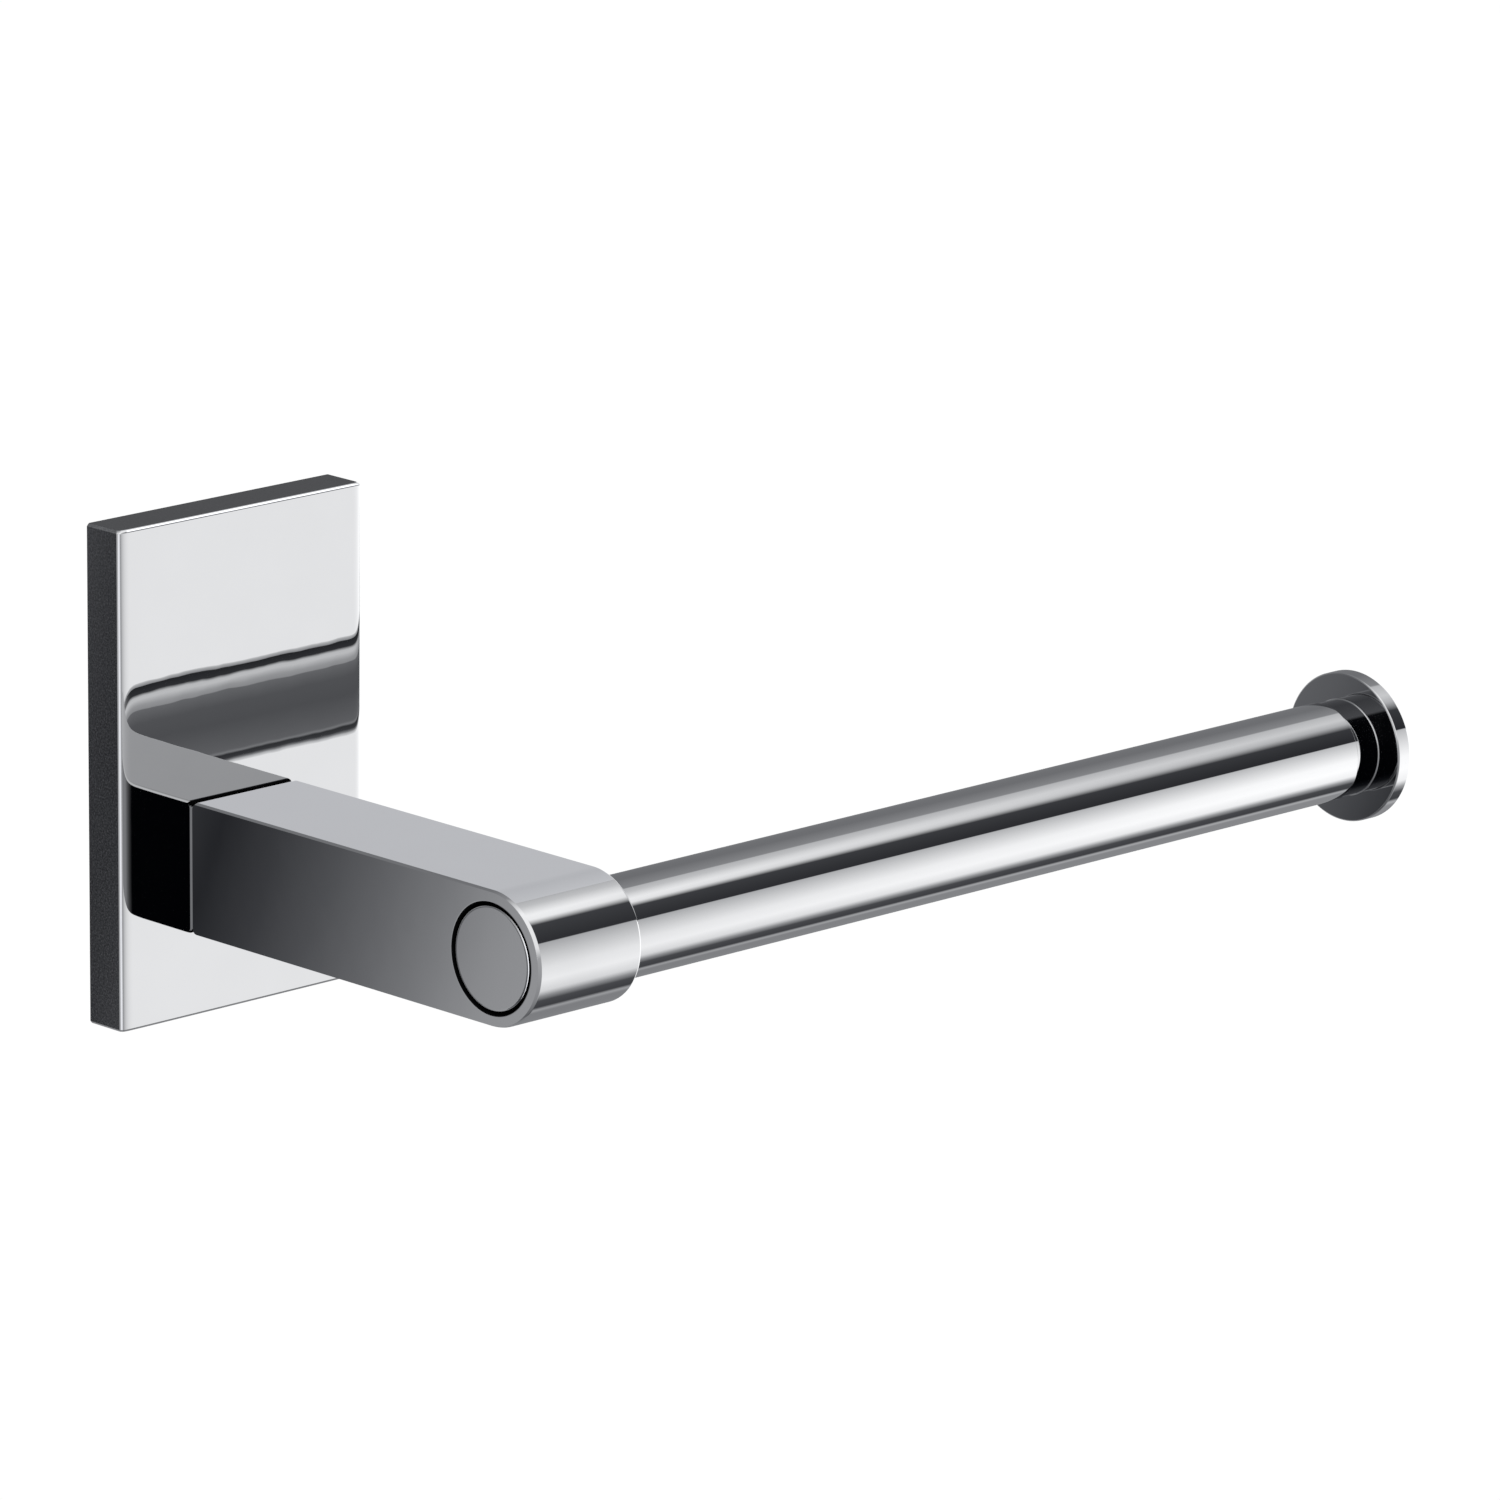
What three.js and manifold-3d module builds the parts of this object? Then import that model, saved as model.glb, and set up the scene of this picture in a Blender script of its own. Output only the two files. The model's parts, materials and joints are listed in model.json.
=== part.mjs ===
// Wall-mounted toilet paper holder: a chrome plate on a hidden bracket, a square arm, and a round bar that
// turns in the arm's outer end. Millimetres. The wall is the plane y = 0 and the holder stands out of it
// towards -Y. X runs along the bar and Z is up. The origin is the centre of the plate, on the wall.
import * as THREE from "three";
import { mergeVertices } from "three/addons/utils/BufferGeometryUtils.js";
import Module from "manifold-3d";

// ---- Driving dimensions ----
const armSize = 20; // square bar stock
const armReach = 71.7; // wall to the axis of the round bar
const armDrop = 15.1; // centre of the plate down to the axis of the round bar

const plateWidth = 46.8;
const plateHeight = 75;
const plateDepth = 7.1;
const plateRound = 0.6; // radius of the plate's two long front edges
const plateCrown = { left: 0.25, right: 0.1, reach: 3 }; // how far the polished front falls off at its sides
const plateRim = 2.5; // thickness of the plate's side walls
const plateFront = 2.3; // thickness of the plate's front wall

const tubeDiameter = 15.2;
const tubeWall = 1;
const tubeEnd = 161.6; // centre of the arm to the tube's outer end
const collarDiameter = 14.8;
const collarLength = 4.7;
const discDiameter = 23.1;
const discThickness = 2.6;

const capDiameter = 15.4; // flush cap on the arm's left face
const capGap = 0.5; // even gap round that cap
const spindleDiameter = 8;

// ---- Clearances and edge breaks ----
const seat = 0.05; // between faces that bear on each other
const running = 0.05; // radial, spindle in its bushes
const gap = 0.2; // between pieces that have to stay clear of each other
const edgeBreak = 0.4; // bevel on the arm's edges
const fineBreak = 0.3; // bevel on turned rims
const past = 2; // how far a cutter runs past the faces it opens

const wasm = await Module();
wasm.setup();

const chrome = new THREE.MeshStandardMaterial({ color: 0xd6d8dc, roughness: 0.06, metalness: 1 });
const steel = new THREE.MeshStandardMaterial({ color: 0x9da0a3, roughness: 0.35, metalness: 1 });
const blackSteel = new THREE.MeshStandardMaterial({ color: 0x1c1c1e, roughness: 0.45, metalness: 0.6 });
const brass = new THREE.MeshStandardMaterial({ color: 0xc2a25a, roughness: 0.35, metalness: 1 });
const nylon = new THREE.MeshStandardMaterial({ color: 0xe6e4dc, roughness: 0.5, metalness: 0 });

// ---- Shape helpers ----

// A closed three.js geometry as a manifold solid, for cutting and joining.
function solidOf(geometry) {
  const bare = geometry.clone();
  bare.deleteAttribute("normal");
  bare.deleteAttribute("uv");
  const merged = mergeVertices(bare);
  return new wasm.Manifold(
    new wasm.Mesh({
      numProp: 3,
      vertProperties: new Float32Array(merged.attributes.position.array),
      triVerts: new Uint32Array(merged.index.array),
    }),
  );
}

function geometryOf(solid) {
  const mesh = solid.getMesh();
  const geometry = new THREE.BufferGeometry();
  geometry.setAttribute("position", new THREE.BufferAttribute(mesh.vertProperties, 3));
  geometry.setIndex(new THREE.BufferAttribute(mesh.triVerts, 1));
  geometry.computeVertexNormals();
  return geometry;
}

// The geometry with every cutter taken out of it.
function cut(geometry, ...cutters) {
  const rest = cutters.reduce((solid, cutter) => solid.subtract(solidOf(cutter)), solidOf(geometry));
  return geometryOf(rest);
}

// The geometries joined into one body.
function join(...geometries) {
  return geometryOf(geometries.map(solidOf).reduce((whole, next) => whole.add(next)));
}

// A box from its lowest to its highest corner.
function block(low, high) {
  const size = high.map((value, i) => value - low[i]);
  const centre = high.map((value, i) => (value + low[i]) / 2);
  return new THREE.BoxGeometry(...size).translate(...centre);
}

// A body turned about its own Y axis from [axial, radius] corners. A hollow one closes on its first corner.
function turned(corners, segments = 32, hollow = false) {
  const profile = hollow ? [...corners, corners[0]] : corners;
  return new THREE.LatheGeometry(
    profile.map(([axial, radius]) => new THREE.Vector2(radius, axial)),
    segments,
  );
}

// A plain round rod or hole, from one axial place to another.
function rod(from, to, radius, segments = 32) {
  return turned([[from, 0], [from, radius], [to, radius], [to, 0]], segments);
}

// A ring of one thickness, from one axial place to another.
function ring(from, to, inner, outer, segments = 32) {
  return turned([[from, inner], [from, outer], [to, outer], [to, inner]], segments, true);
}

// A turned body is drawn along +Y. These lay its axis along the bar, out of the wall, and straight up.
const alongX = (geometry) => geometry.rotateZ(-Math.PI / 2);
const outward = (geometry) => geometry.rotateX(Math.PI);
const upward = (geometry) => geometry.rotateX(Math.PI / 2);

// A side view drawn as (distance out of the wall, height), extruded across the holder and centred on x = 0.
function acrossFromSide(outline, width, bevel = 0) {
  const geometry = new THREE.ExtrudeGeometry(outline, {
    depth: width - 2 * bevel,
    curveSegments: 32,
    bevelEnabled: bevel > 0,
    bevelThickness: bevel,
    bevelSize: bevel,
    bevelOffset: -bevel,
    bevelSegments: 1,
  });
  const toSideView = new THREE.Matrix4().makeBasis(
    new THREE.Vector3(0, -1, 0),
    new THREE.Vector3(0, 0, 1),
    new THREE.Vector3(-1, 0, 0),
  );
  return geometry.translate(0, 0, bevel - width / 2).applyMatrix4(toSideView);
}

function outlineOf(corners) {
  return new THREE.Shape(corners.map(([a, b]) => new THREE.Vector2(a, b)));
}

function piece(name, geometry, material) {
  const mesh = new THREE.Mesh(geometry, material);
  mesh.name = name;
  return mesh;
}

function groupAt(x, y, z, ...children) {
  const group = new THREE.Group();
  group.position.set(x, y, z);
  group.add(...children);
  return group;
}

// ---- Fastening layout, shared by the plate, the bracket and the arm ----
const pocketDepth = plateDepth - plateFront;
const pocketHalfWidth = plateWidth / 2 - plateRim;
const pocketHalfHeight = plateHeight / 2 - plateRim;

const armScrewSpacing = 10; // the two screws sit side by side, level with the bar's axis
const armScrew = { radius: 2, length: 10, socket: 2.5, socketDepth: 1.3 };
const armScrewHead = { radius: 3.5, height: 2.2, bevel: 0.6 };
const armScrewPlaces = { left: -armScrewSpacing / 2, right: armScrewSpacing / 2 };
const washer = { radius: 4.5, thickness: 0.8, bore: armScrew.radius + 0.15 };

// A rib inside the plate's top hangs behind the bracket's tab.
const hook = { halfWidth: 14, thickness: 1.1, drop: 3.8, offWall: 0.2 };
const lockScrew = { radius: 1.5, length: 6, cone: 0.9, point: 0.3, socket: 1.5, socketDepth: 2, out: 2.6 };
const lockBoss = { halfWidth: 4, height: 0.8, offWall: 0.6 };
const bracketFoot = -30.2; // the bracket's lower edge, just above the lock screw's point

// ---- Wall bracket: pressed steel, screwed to the wall through two slots ----
const bracket = {
  halfWidth: 20,
  sheet: 1.9,
  joggle: 1.7, // how far the top tab is set forward, to leave room for the plate's hook
  lip: { out: 4, height: 1.6 }, // turned out along the lower edge, for the lock screw to bear on
  windowMargin: 1, // beside and below the washers of the arm screws
};
const slot = { width: 5, length: 9, spacing: 44, lower: -24.6 };

function wallBracket() {
  const { sheet, joggle, lip } = bracket;
  const tabTop = pocketHalfHeight - gap;
  const tabFoot = tabTop - hook.drop - 1;
  const outline = outlineOf([
    [0, bracketFoot],
    [lip.out, bracketFoot],
    [lip.out, bracketFoot + lip.height],
    [sheet, bracketFoot + lip.height],
    [sheet, tabFoot - joggle],
    [sheet + joggle, tabFoot],
    [sheet + joggle, tabTop],
    [joggle, tabTop],
    [joggle, tabFoot],
    [0, tabFoot - joggle],
  ]);
  // The window for the arm screws is tall enough for their heads to rise in it while the plate is unhooked.
  const windowReach = washer.radius + bracket.windowMargin;
  const windowHalfWidth = armScrewSpacing / 2 + windowReach;
  const window = block(
    [-windowHalfWidth, -sheet - past, -armDrop - windowReach],
    [windowHalfWidth, past, -armDrop + armScrewHead.radius + hook.drop + gap],
  );
  const lowerSlot = standingSlot().rotateY(Math.PI / 2).translate(0, 0, slot.lower);
  const upperSlot = standingSlot().translate(0, 0, slot.lower + slot.spacing);
  return cut(acrossFromSide(outline, 2 * bracket.halfWidth), window, lowerSlot, upperSlot);
}

// A slot for a wall screw. One stands and one lies flat, so that the bracket can be set level.
function standingSlot() {
  const straight = (slot.length - slot.width) / 2;
  const middle = block(
    [-slot.width / 2, -bracket.sheet - past, -straight],
    [slot.width / 2, past, straight],
  );
  const ends = [-straight, straight].map((height) =>
    outward(rod(-past, bracket.sheet + past, slot.width / 2, 24)).translate(0, 0, height),
  );
  return join(middle, ...ends);
}

// ---- Wall plate: a hollow-backed cover that hooks over the bracket ----
function wallPlate() {
  const half = plateWidth / 2 - fineBreak;
  const front = -plateDepth + fineBreak;
  const leftFront = front + plateCrown.left;
  const rightFront = front + plateCrown.right;
  const plan = new THREE.Shape();
  plan.moveTo(-half, -fineBreak);
  plan.lineTo(-half, leftFront + plateRound);
  plan.absarc(-half + plateRound, leftFront + plateRound, plateRound, Math.PI, 1.5 * Math.PI, false);
  plan.quadraticCurveTo(-half + plateCrown.reach / 2, front, -half + plateCrown.reach, front);
  plan.lineTo(half - plateCrown.reach, front);
  plan.quadraticCurveTo(half - plateCrown.reach / 2, front, half - plateRound, rightFront);
  plan.absarc(half - plateRound, rightFront + plateRound, plateRound, -0.5 * Math.PI, 0, false);
  plan.lineTo(half, -fineBreak);
  const slab = new THREE.ExtrudeGeometry(plan, {
    depth: plateHeight - 2 * fineBreak,
    curveSegments: 8,
    bevelThickness: fineBreak,
    bevelSize: fineBreak,
    bevelSegments: 1,
  }).translate(0, 0, fineBreak - plateHeight / 2);
  const pocket = block(
    [-pocketHalfWidth, -pocketDepth, -pocketHalfHeight],
    [pocketHalfWidth, past, pocketHalfHeight],
  );
  const armHoles = Object.values(armScrewPlaces).map((x) =>
    outward(rod(pocketDepth - past, plateDepth + past, armScrew.radius + gap)).translate(x, 0, -armDrop),
  );
  const hookRib = block(
    [-hook.halfWidth, -hook.offWall - hook.thickness, pocketHalfHeight - hook.drop],
    [hook.halfWidth, -hook.offWall, pocketHalfHeight + plateRim / 2],
  );
  const boss = block(
    [-lockBoss.halfWidth, -pocketDepth - plateFront / 2, -pocketHalfHeight - plateRim / 2],
    [lockBoss.halfWidth, -lockBoss.offWall, -pocketHalfHeight + lockBoss.height],
  );
  const lockHole = upward(rod(-past, plateRim + lockBoss.height + past, lockScrew.radius + seat, 24))
    .translate(0, -lockScrew.out, -plateHeight / 2);
  return cut(join(cut(slab, pocket), hookRib, boss), lockHole, ...armHoles);
}

// A hexagon socket, from the face at 0 to a depth.
function hexSocket(acrossFlats, depth) {
  return rod(-past, depth, acrossFlats / Math.sqrt(3), 6);
}

// ---- Lock screw: a grub screw whose point bears on the bracket's lower lip ----
function lockScrewBody() {
  const { radius, length, cone, point } = lockScrew;
  const body = turned([[0, 0], [0, radius], [length - cone, radius], [length, point], [length, 0]], 24);
  return upward(cut(body, hexSocket(lockScrew.socket, lockScrew.socketDepth)));
}

// ---- Arm: square bar with a half-round outer end, cross bored for the spindle ----
const bush = { bore: spindleDiameter / 2 + running, wall: 1.4, flange: 0.8 };
const boreRadius = bush.bore + bush.wall + seat;
const capRecess = 4.5; // depth of the recess behind the flush cap
const tubeRecess = { radius: tubeDiameter / 2 + 0.3, depth: 2.2 }; // the tube's end runs just inside the arm
const armHalf = armSize / 2;

function armBody() {
  const base = plateDepth + seat;
  const outline = new THREE.Shape();
  outline.moveTo(base, -armHalf);
  outline.lineTo(armReach, -armHalf);
  outline.absarc(armReach, 0, armHalf, -0.5 * Math.PI, 0.5 * Math.PI, false);
  outline.lineTo(base, armHalf);
  const crossBore = rod(-armHalf - past, armHalf + past, boreRadius, 48);
  const capHole = rod(-armHalf - past, -armHalf + capRecess, capDiameter / 2 + capGap, 48);
  const tubeHole = rod(armHalf - tubeRecess.depth, armHalf + past, tubeRecess.radius, 48);
  const crossCuts = [crossBore, capHole, tubeHole].map((hole) => alongX(hole).translate(0, -armReach, 0));
  const tappedHoles = Object.values(armScrewPlaces).map((x) =>
    outward(rod(base - past, base + armScrew.length, armScrew.radius + seat)).translate(x, 0, 0),
  );
  return cut(acrossFromSide(outline, armSize, edgeBreak), ...crossCuts, ...tappedHoles);
}

function armScrewBody() {
  const { radius, height, bevel } = armScrewHead;
  const shankEnd = height + armScrew.length;
  const screw = turned([[0, 0], [0, radius - bevel], [bevel, radius], [height, radius],
    [height, armScrew.radius], [shankEnd, armScrew.radius], [shankEnd, 0]]);
  return outward(cut(screw, hexSocket(armScrew.socket, armScrew.socketDepth)));
}

// ---- Turning parts. Their axial places run along the bar, from the centre of the arm ----
const bushFace = { left: -armHalf + capRecess - seat, right: armHalf - tubeRecess.depth + seat };
const flangeRadius = tubeRecess.radius - 0.7;
const bushNose = 0.3; // the two bushes end this far from the middle of the arm

// A bush in the cross bore, on the left (side -1) or the right (side 1).
function flangedBush(face, side) {
  const flangeFace = face + side * bush.flange;
  const outer = bush.bore + bush.wall;
  const corners = [[flangeFace, bush.bore], [flangeFace, flangeRadius], [face, flangeRadius], [face, outer],
    [side * bushNose, outer], [side * bushNose, bush.bore]];
  return alongX(turned(side > 0 ? corners.reverse() : corners, 48, true));
}

const cap = { thickness: 1.5, spigotRadius: 2, spigotLength: 4.5 };
const clip = { thickness: 0.8, radius: 5.6, mouth: THREE.MathUtils.degToRad(35) }; // mouth: half its opening
const groove = { depth: 0.3, width: clip.thickness + 2 * seat };
const spindleLeft = -armHalf + cap.thickness + gap;
const grooveStart = spindleLeft + 0.3;
const grooveEnd = grooveStart + groove.width;
const tubeStart = bushFace.right + bush.flange + 0.3;
const plugLength = 20;

function spindle() {
  const radius = spindleDiameter / 2;
  const noseRadius = radius - 0.1; // lets the clip slide on
  const endBevel = 0.5;
  const right = tubeStart + plugLength - 1;
  const shaft = turned([[spindleLeft, 0], [spindleLeft, noseRadius], [grooveStart, noseRadius],
    [grooveStart, radius - groove.depth], [grooveEnd, radius - groove.depth], [grooveEnd, radius],
    [right - endBevel, radius], [right, radius - endBevel], [right, 0]], 48);
  const spigotHole = rod(spindleLeft - past, spindleLeft + cap.spigotLength + seat, cap.spigotRadius + seat);
  return alongX(cut(shaft, spigotHole));
}

function circlip() {
  const inner = spindleDiameter / 2 - groove.depth + seat;
  const outline = new THREE.Shape();
  outline.absarc(0, 0, clip.radius, clip.mouth, 2 * Math.PI - clip.mouth, false);
  outline.absarc(0, 0, inner, 2 * Math.PI - clip.mouth, clip.mouth, true);
  const geometry = new THREE.ExtrudeGeometry(outline, {
    depth: clip.thickness,
    curveSegments: 32,
    bevelEnabled: false,
  });
  return geometry.rotateY(Math.PI / 2).translate(grooveStart + seat, 0, 0);
}

function spindleWasher() {
  return alongX(ring(grooveEnd + seat, bushFace.left - bush.flange - 2 * seat, bush.bore + seat, 7));
}

function headCap() {
  const face = -armHalf;
  const radius = capDiameter / 2;
  const back = face + cap.thickness;
  const tip = back + cap.spigotLength;
  return alongX(turned([[face, 0], [face, radius - fineBreak], [face + fineBreak, radius], [back, radius],
    [back, cap.spigotRadius], [tip, cap.spigotRadius], [tip, 0]], 48));
}

const tubeRadius = tubeDiameter / 2;
const tubeBore = tubeRadius - tubeWall;

function barTube() {
  const corners = [[tubeStart, tubeBore], [tubeStart, tubeRadius - fineBreak],
    [tubeStart + fineBreak, tubeRadius], [tubeEnd - fineBreak, tubeRadius],
    [tubeEnd, tubeRadius - fineBreak], [tubeEnd, tubeBore]];
  return alongX(turned(corners, 64, true));
}

// The inner plug is fixed on the spindle and stands a little out of the tube, to run against the bush.
function tubePlugInner() {
  return alongX(ring(tubeStart - gap, tubeStart + plugLength, bush.bore, tubeBore - seat, 48));
}

const discBack = tubeEnd + collarLength;
const stud = { radius: 2.5, hole: 2.5 + seat, inPlug: 16, inDisc: 1.1 };

function tubePlugOuter() {
  return alongX(ring(tubeEnd - plugLength, tubeEnd - seat, stud.hole, tubeBore - seat, 48));
}

function endStud() {
  return alongX(rod(tubeEnd - stud.inPlug, discBack + stud.inDisc, stud.radius));
}

function endCollar() {
  return alongX(ring(tubeEnd + seat, discBack - seat, stud.hole, collarDiameter / 2, 48));
}

function endDisc() {
  const radius = discDiameter / 2;
  const face = discBack + discThickness;
  const disc = turned([[discBack, 0], [discBack, radius - fineBreak], [discBack + fineBreak, radius],
    [face - fineBreak, radius], [face, radius - fineBreak], [face, 0]], 64);
  return alongX(cut(disc, rod(discBack - past, discBack + stud.inDisc + seat, stud.hole)));
}

// ---- Assembly ----
const cover = groupAt(0, 0, 0, piece("wall_plate", wallPlate(), chrome));
const lockScrewMesh = piece("lock_screw", lockScrewBody(), blackSteel);
lockScrewMesh.position.set(0, -lockScrew.out, bracketFoot - 2 * seat - lockScrew.length);

const armAssembly = groupAt(0, 0, -armDrop, piece("arm", armBody(), chrome));
for (const [side, x] of Object.entries(armScrewPlaces)) {
  const washerBody = outward(ring(0, washer.thickness, washer.bore, washer.radius));
  const washerMesh = piece(`arm_washer_${side}`, washerBody, steel);
  washerMesh.position.set(x, -(pocketDepth - seat - washer.thickness), 0);
  const screwMesh = piece(`arm_screw_${side}`, armScrewBody(), blackSteel);
  screwMesh.position.set(x, -(pocketDepth - 2 * seat - washer.thickness - armScrewHead.height), 0);
  armAssembly.add(washerMesh, screwMesh);
}

const bushes = groupAt(
  0, -armReach, 0,
  piece("bush_left", flangedBush(bushFace.left, -1), nylon),
  piece("bush_right", flangedBush(bushFace.right, 1), nylon),
);
armAssembly.add(bushes);

const bar = groupAt(
  0, -armReach, -armDrop,
  piece("head_cap", headCap(), chrome),
  piece("circlip", circlip(), steel),
  piece("spindle_washer", spindleWasher(), steel),
  piece("spindle", spindle(), steel),
  piece("tube_plug_inner", tubePlugInner(), brass),
  piece("bar_tube", barTube(), chrome),
  piece("tube_plug_outer", tubePlugOuter(), brass),
  piece("end_stud", endStud(), steel),
  piece("end_collar", endCollar(), chrome),
  piece("end_disc", endDisc(), chrome),
);

const holder = new THREE.Group();
holder.add(piece("wall_bracket", wallBracket(), steel), cover, lockScrewMesh, armAssembly, bar);

export default holder;
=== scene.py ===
"""Looks of the wall-mounted toilet paper holder: finished meshes, materials, studio light and camera.

Metres, in the CAD frame: X along the round bar, the wall is y = 0 with the holder on its -Y side, Z up.
"""

import json
import math

import bmesh
import bpy
from mathutils import Matrix, Vector


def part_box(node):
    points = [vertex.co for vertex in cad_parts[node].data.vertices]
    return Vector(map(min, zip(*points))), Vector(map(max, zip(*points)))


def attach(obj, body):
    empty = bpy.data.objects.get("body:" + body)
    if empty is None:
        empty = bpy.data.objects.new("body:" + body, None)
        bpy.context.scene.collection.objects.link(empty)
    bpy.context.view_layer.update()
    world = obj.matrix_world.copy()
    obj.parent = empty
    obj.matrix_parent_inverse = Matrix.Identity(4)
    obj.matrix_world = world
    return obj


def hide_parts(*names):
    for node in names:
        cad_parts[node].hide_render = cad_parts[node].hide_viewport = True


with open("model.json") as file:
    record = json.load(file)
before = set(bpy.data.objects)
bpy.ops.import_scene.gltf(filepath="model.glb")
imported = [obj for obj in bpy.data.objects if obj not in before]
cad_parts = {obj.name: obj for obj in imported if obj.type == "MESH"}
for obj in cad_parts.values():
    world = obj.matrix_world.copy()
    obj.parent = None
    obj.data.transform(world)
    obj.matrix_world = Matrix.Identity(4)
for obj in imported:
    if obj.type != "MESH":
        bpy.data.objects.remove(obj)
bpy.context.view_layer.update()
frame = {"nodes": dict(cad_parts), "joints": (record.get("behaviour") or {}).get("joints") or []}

MM = 0.001

# ---- Places and sizes, read from the frame ----
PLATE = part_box("wall_plate")
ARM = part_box("arm")
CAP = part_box("head_cap")
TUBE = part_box("bar_tube")
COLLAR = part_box("end_collar")
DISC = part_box("end_disc")
BAR_SPIN = next(joint for joint in frame["joints"] if joint["name"] == "bar_spin")
AXIS = Vector(BAR_SPIN["pos_m"])  # a point on the bar's axis, at the arm's centre


def half_size(box, axis):
    return (box[1][axis] - box[0][axis]) / 2


def middle(box):
    return (Vector(box[0]) + Vector(box[1])) / 2


ARM_HALF = half_size(ARM, 2)
TUBE_RADIUS = half_size(TUBE, 2)
CAP_RADIUS = half_size(CAP, 2)
COLLAR_RADIUS = half_size(COLLAR, 2)
DISC_RADIUS = half_size(DISC, 2)

# Sizes that a box doesn't give. A bore, spigot, shank or point is given by its radius, and a socket by half
# its width across the flats.
CAP_GAP = 0.5 * MM
CAP_SINK = 0.1 * MM  # the cap sits a little below the arm's face
CAP_THICKNESS = 1.5 * MM
CAP_SPIGOT = 2 * MM
CAP_RECESS = 4.5 * MM
TUBE_GAP = 0.3 * MM
TUBE_RECESS = 2.2 * MM
TUBE_WALL = 1 * MM
CROSS_BORE = 5.5 * MM
COLLAR_BORE = 2.55 * MM
PLATE_RIM = 2.5 * MM
PLATE_FRONT = 2.3 * MM
HOOK_HALF_WIDTH = 14 * MM  # the hook under the plate's upper rim, which hangs on the bracket
HOOK_HEIGHT = 3.8 * MM
HOOK_FRONT = 1.3 * MM  # distance of its front from the wall, and of its back
HOOK_BACK = 0.2 * MM
BOSS_HALF_WIDTH = 4 * MM  # the boss on the plate's lower rim, which holds the lock screw
BOSS_HEIGHT = 0.8 * MM
BOSS_BACK = 0.6 * MM
SUNK = 1 * MM  # how deep the hook and the boss are sunk into the rims
SCREW_SHANK = 2 * MM
SCREW_HOLE_PLAY = 0.2 * MM
SCREW_HEAD_HEIGHT = 2.2 * MM
SCREW_HEAD_EDGE = 0.6 * MM
SCREW_SOCKET = 1.25 * MM
SCREW_SOCKET_DEPTH = 1.3 * MM
WASHER_PLAY = 0.15 * MM
LOCK_HOLE_PLAY = 0.05 * MM
LOCK_SOCKET = 0.75 * MM
LOCK_SOCKET_DEPTH = 2 * MM
LOCK_CONE = 0.9 * MM
LOCK_POINT = 0.3 * MM
SOCKET_MOUTH = 1.25  # radius of a socket's countersunk mouth, in parts of the socket's half width

# Edges: the size of each rounding, and the curves it can follow
ARM_LEFT_EDGE = 0.6 * MM  # measured along the bar; its bevel lies flatter than 45 degrees
CAP_EDGE = 0.27 * MM
ARM_RIGHT_EDGE = 0.5 * MM
ARM_FOOT_EDGE = 1 * MM
RIM_EDGE = 0.25 * MM
HOLE_EDGE = 0.15 * MM
FINE_EDGE = 0.12 * MM
PLATE_EDGE = 0.45 * MM
BRACKET_EDGE = 0.2 * MM
COVE = 0.15 * MM  # hollow round where the neck meets the disc
FILLET = 2  # power of the curve for a quarter circle
SOFT_BEVEL = 1.25  # power of the curve for a flat bevel with soft corners
FLAT_BEVEL = 0.35  # height of a flat-lying bevel, in parts of its length
FLAT_BAND = 0.15 * MM  # a strip of flat face beside a rounding, which keeps the face's shading flat

ROUND_STEPS = 192
FASTENER_STEPS = 96
SMALL_STEPS = 64
EDGE_STEPS = 6
MERGE = 0.5e-6  # vertices nearer than this are one
SHARP_ANGLE = math.radians(40)  # edges that turn more than this are shaded sharp
CAD_SHARP_ANGLE = math.radians(30)


# ---- Mesh helpers ----
def rounding(size, power=FILLET):
    """An edge between two right-angled faces, as (along, inset) pairs that start on the first face, at
    (0, size), and end on the second, at (size, 0)."""
    pairs = []
    for k in range(EDGE_STEPS + 1):
        turn = math.radians(90) * k / EDGE_STEPS
        pairs.append((size * (1 - math.cos(turn) ** (2 / power)), size * (1 - math.sin(turn) ** (2 / power))))
    return pairs


def loop_of(verts, points):
    """Adds the points and returns their vertex numbers."""
    start = len(verts)
    verts.extend(points)
    return list(range(start, len(verts)))


def bridge(faces, a, b):
    """Adds a band of faces between two closed loops of as many vertices."""
    count = len(a)
    faces.extend([a[k], a[(k + 1) % count], b[(k + 1) % count], b[k]] for k in range(count))


def make_object(name, verts, faces, material, body, replaced, slot):
    """A piece made of verts and faces."""
    mesh = bpy.data.meshes.new(name)
    mesh.from_pydata([tuple(v) for v in verts], [], faces)
    return adopt(name, mesh, material, body, replaced, slot)


def adopt(name, mesh, material, body, replaced, slot):
    """A piece with a finished surface, which rides on a body and stands for a CAD node."""
    obj = bpy.data.objects.new(name, mesh)
    bpy.context.scene.collection.objects.link(obj)
    mesh.materials.clear()
    mesh.materials.append(material)
    finish_surface(obj)
    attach(obj, body)
    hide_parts(replaced)
    return obj


def turn_faces_out(mesh, merge=0):
    """Faces out, after joining the vertices that are nearer than merge."""
    work = bmesh.new()
    work.from_mesh(mesh)
    if merge:
        bmesh.ops.remove_doubles(work, verts=work.verts, dist=merge)
    bmesh.ops.recalc_face_normals(work, faces=work.faces)
    work.to_mesh(mesh)
    work.free()


def finish_surface(obj):
    """Smooth shading that stays flat on the flats and turns only in the roundings."""
    turn_faces_out(obj.data, MERGE)
    obj.data.shade_smooth()
    obj.data.set_sharp_from_angle(angle=SHARP_ANGLE)
    weights = obj.modifiers.new("flat faces stay flat", "WEIGHTED_NORMAL")
    weights.mode = "FACE_AREA"
    weights.weight = 100
    weights.keep_sharp = True


def paint(obj, material, chosen):
    """A second material on the faces whose centre and normal pass a test."""
    obj.data.materials.append(material)
    index = len(obj.data.materials) - 1
    for face in obj.data.polygons:
        if chosen(face.center, face.normal):
            face.material_index = index


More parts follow.
